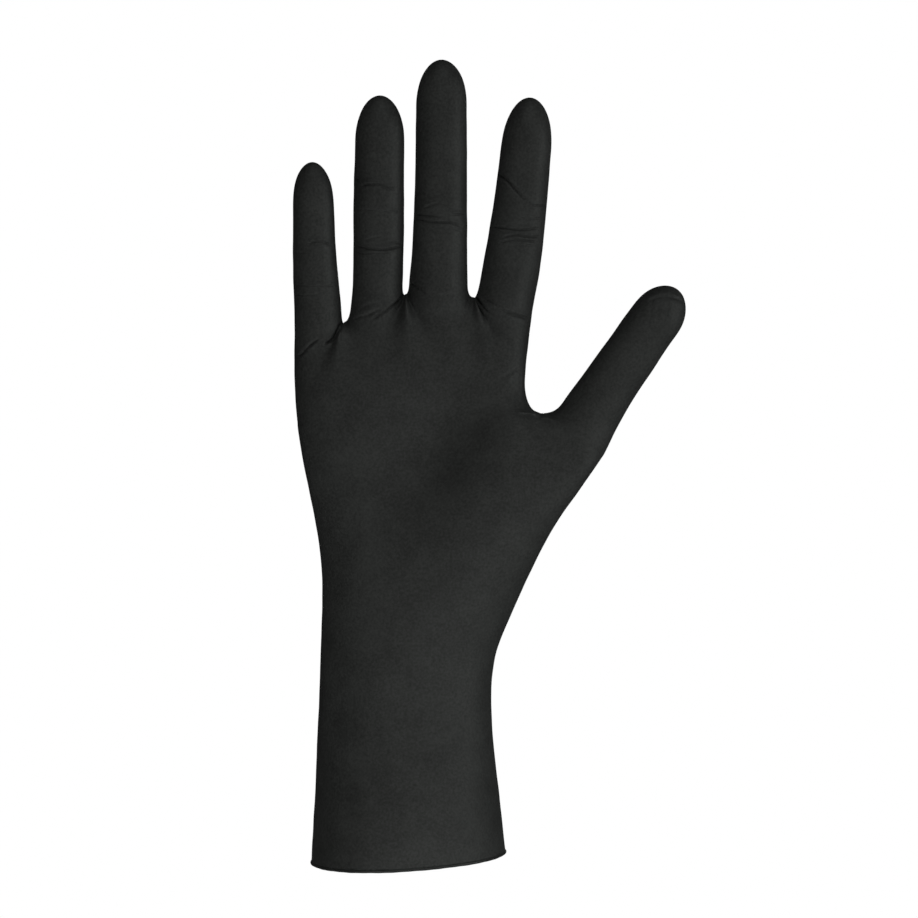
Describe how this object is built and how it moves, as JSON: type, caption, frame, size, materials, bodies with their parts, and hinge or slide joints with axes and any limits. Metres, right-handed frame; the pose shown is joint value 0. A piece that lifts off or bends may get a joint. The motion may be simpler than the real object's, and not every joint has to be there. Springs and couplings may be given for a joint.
{
  "type": "disposable glove",
  "caption": "Worn-shape disposable nitrile work glove with a long cuff, a rolled bead and fingers that bend.",
  "frame": {"origin": "centre of the cuff opening, on the plane of the rolled bead", "axes": "+Z from the cuff opening towards the fingertips, -Y out of the palm, +X towards the thumb"},
  "size_m": [0.1463, 0.0672, 0.3004],
  "materials": {
    "nitrile_film": "matte",
    "nitrile_bead": "satin"
  },
  "bodies": {
    "cuff": {"cuff_bead": "nitrile_bead", "cuff_sleeve": "nitrile_film", "wrist_fold_front": "nitrile_film", "wrist_fold_back": "nitrile_film"},
    "palm": {"palm_shell": "nitrile_film", "little_root_fold": "nitrile_film", "ring_root_fold": "nitrile_film", "middle_root_fold": "nitrile_film", "index_root_fold": "nitrile_film", "thumb_root_fold": "nitrile_film"},
    "little_proximal": {"little_proximal": "nitrile_film", "little_mid_fold": "nitrile_film"},
    "little_middle": {"little_middle": "nitrile_film", "little_tip_fold": "nitrile_film"},
    "little_tip": {"little_tip": "nitrile_film"},
    "ring_proximal": {"ring_proximal": "nitrile_film", "ring_mid_fold": "nitrile_film"},
    "ring_middle": {"ring_middle": "nitrile_film", "ring_tip_fold": "nitrile_film"},
    "ring_tip": {"ring_tip": "nitrile_film"},
    "middle_proximal": {"middle_proximal": "nitrile_film", "middle_mid_fold": "nitrile_film"},
    "middle_middle": {"middle_middle": "nitrile_film", "middle_tip_fold": "nitrile_film"},
    "middle_tip": {"middle_tip": "nitrile_film"},
    "index_proximal": {"index_proximal": "nitrile_film", "index_mid_fold": "nitrile_film"},
    "index_middle": {"index_middle": "nitrile_film", "index_tip_fold": "nitrile_film"},
    "index_tip": {"index_tip": "nitrile_film"},
    "thumb_proximal": {"thumb_proximal": "nitrile_film", "thumb_tip_fold": "nitrile_film"},
    "thumb_tip": {"thumb_tip": "nitrile_film"}
  },
  "joints": [
    {"name": "wrist_bend", "type": "hinge", "parent": "cuff", "child": "palm", "pos_m": [-0.0012, 0, 0.064], "axis": [1, 0, 0], "range_deg": [-40, 40], "stiffness_Nm_per_rad": 0.12, "deforming": ["wrist_fold_front", "wrist_fold_back"]},
    {"name": "little_root_bend", "type": "hinge", "parent": "palm", "child": "little_proximal", "pos_m": [-0.034, 0, 0.2055], "axis": [0.9983, 0, 0.0575], "range_deg": [0, 60], "stiffness_Nm_per_rad": 0.005, "deforming": ["little_root_fold"]},
    {"name": "little_mid_bend", "type": "hinge", "parent": "little_proximal", "child": "little_middle", "pos_m": [-0.03476, -0.00031, 0.22056], "axis": [0.9991, 0, 0.043], "range_deg": [0, 70], "stiffness_Nm_per_rad": 0.003, "deforming": ["little_mid_fold"]},
    {"name": "little_tip_bend", "type": "hinge", "parent": "little_middle", "child": "little_tip", "pos_m": [-0.03532, -0.00132, 0.23644], "axis": [0.9996, 0, 0.0277], "range_deg": [0, 46], "stiffness_Nm_per_rad": 0.0015, "deforming": ["little_tip_fold"]},
    {"name": "ring_root_bend", "type": "hinge", "parent": "palm", "child": "ring_proximal", "pos_m": [-0.0115, 0, 0.214], "axis": [0.9999, 0, -0.0156], "range_deg": [0, 60], "stiffness_Nm_per_rad": 0.005, "deforming": ["ring_root_fold"]},
    {"name": "ring_mid_bend", "type": "hinge", "parent": "ring_proximal", "child": "ring_middle", "pos_m": [-0.01123, -0.00036, 0.23125], "axis": [0.9999, 0, -0.0156], "range_deg": [0, 70], "stiffness_Nm_per_rad": 0.003, "deforming": ["ring_mid_fold"]},
    {"name": "ring_tip_bend", "type": "hinge", "parent": "ring_middle", "child": "ring_tip", "pos_m": [-0.01091, -0.00175, 0.25202], "axis": [0.9999, 0, -0.0156], "range_deg": [0, 46], "stiffness_Nm_per_rad": 0.0015, "deforming": ["ring_tip_fold"]},
    {"name": "middle_root_bend", "type": "hinge", "parent": "palm", "child": "middle_proximal", "pos_m": [0.0111, 0, 0.215], "axis": [0.9993, 0, -0.0376], "range_deg": [0, 60], "stiffness_Nm_per_rad": 0.005, "deforming": ["middle_root_fold"]},
    {"name": "middle_mid_bend", "type": "hinge", "parent": "middle_proximal", "child": "middle_middle", "pos_m": [0.01185, -0.00063, 0.23975], "axis": [0.9997, 0, -0.023], "range_deg": [0, 70], "stiffness_Nm_per_rad": 0.003, "deforming": ["middle_mid_fold"]},
    {"name": "middle_tip_bend", "type": "hinge", "parent": "middle_middle", "child": "middle_tip", "pos_m": [0.01224, -0.00248, 0.26409], "axis": [1, 0, -0.0087], "range_deg": [0, 46], "stiffness_Nm_per_rad": 0.0015, "deforming": ["middle_tip_fold"]},
    {"name": "index_root_bend", "type": "hinge", "parent": "palm", "child": "index_proximal", "pos_m": [0.0372, 0, 0.214], "axis": [0.9855, 0, -0.1697], "range_deg": [0, 60], "stiffness_Nm_per_rad": 0.005, "deforming": ["index_root_fold"]},
    {"name": "index_mid_bend", "type": "hinge", "parent": "index_proximal", "child": "index_middle", "pos_m": [0.04044, -0.00054, 0.23491], "axis": [0.9906, 0, -0.1364], "range_deg": [0, 70], "stiffness_Nm_per_rad": 0.003, "deforming": ["index_mid_fold"]},
    {"name": "index_tip_bend", "type": "hinge", "parent": "index_middle", "child": "index_tip", "pos_m": [0.04278, -0.00198, 0.25408], "axis": [0.9944, 0, -0.1056], "range_deg": [0, 46], "stiffness_Nm_per_rad": 0.0015, "deforming": ["index_tip_fold"]},
    {"name": "thumb_root_bend", "type": "hinge", "parent": "palm", "child": "thumb_proximal", "pos_m": [0.0662, -0.005, 0.1637], "axis": [0.5317, -0.766, -0.3612], "range_deg": [0, 30], "stiffness_Nm_per_rad": 0.006, "deforming": ["thumb_root_fold"]},
    {"name": "thumb_tip_bend", "type": "hinge", "parent": "thumb_proximal", "child": "thumb_tip", "pos_m": [0.08214, -0.00707, 0.18732], "axis": [0.4711, -0.7581, -0.451], "range_deg": [0, 40], "stiffness_Nm_per_rad": 0.003, "deforming": ["thumb_tip_fold"]}
  ],
  "couplings": [
    {"joint": "little_tip_bend", "follows": "little_mid_bend", "ratio": 0.65},
    {"joint": "ring_tip_bend", "follows": "ring_mid_bend", "ratio": 0.65},
    {"joint": "middle_tip_bend", "follows": "middle_mid_bend", "ratio": 0.65},
    {"joint": "index_tip_bend", "follows": "index_mid_bend", "ratio": 0.65}
  ]
}
